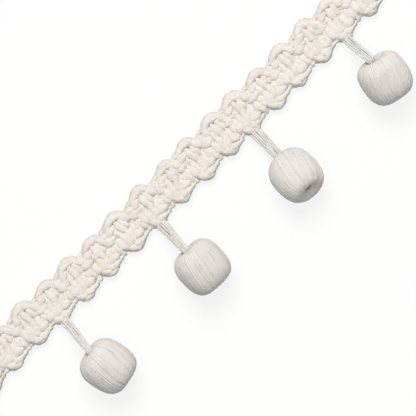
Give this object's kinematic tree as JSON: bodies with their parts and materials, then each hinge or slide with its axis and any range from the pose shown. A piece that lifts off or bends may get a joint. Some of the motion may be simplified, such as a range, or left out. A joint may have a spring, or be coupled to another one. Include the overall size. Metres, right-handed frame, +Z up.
{
  "type": "beaded fringe trim",
  "caption": "Cut length of cream cotton trim: a scalloped crocheted cord heading lying flat, with thread-wound beads on short thread stems along its lower edge.",
  "frame": {"origin": "middle of the heading's flat back, on the surface that the trim lies on", "axes": "+X along the heading, +Y across it away from the beads, +Z up off the surface"},
  "size_m": [0.181, 0.0391, 0.0152],
  "materials": {
    "heading_cord": "matt cream cotton cord, plied and crocheted",
    "stem_thread": "fine cotton thread, slightly lustrous",
    "bead_winding": "wound cotton thread, smooth with a soft sheen"
  },
  "bodies": {
    "root": {"heading": "heading_cord", "stem_1": "stem_thread", "stem_2": "stem_thread", "stem_3": "stem_thread", "stem_4": "stem_thread", "bead_1": "bead_winding", "bead_2": "bead_winding", "bead_3": "bead_winding", "bead_4": "bead_winding"}
  },
  "joints": []
}
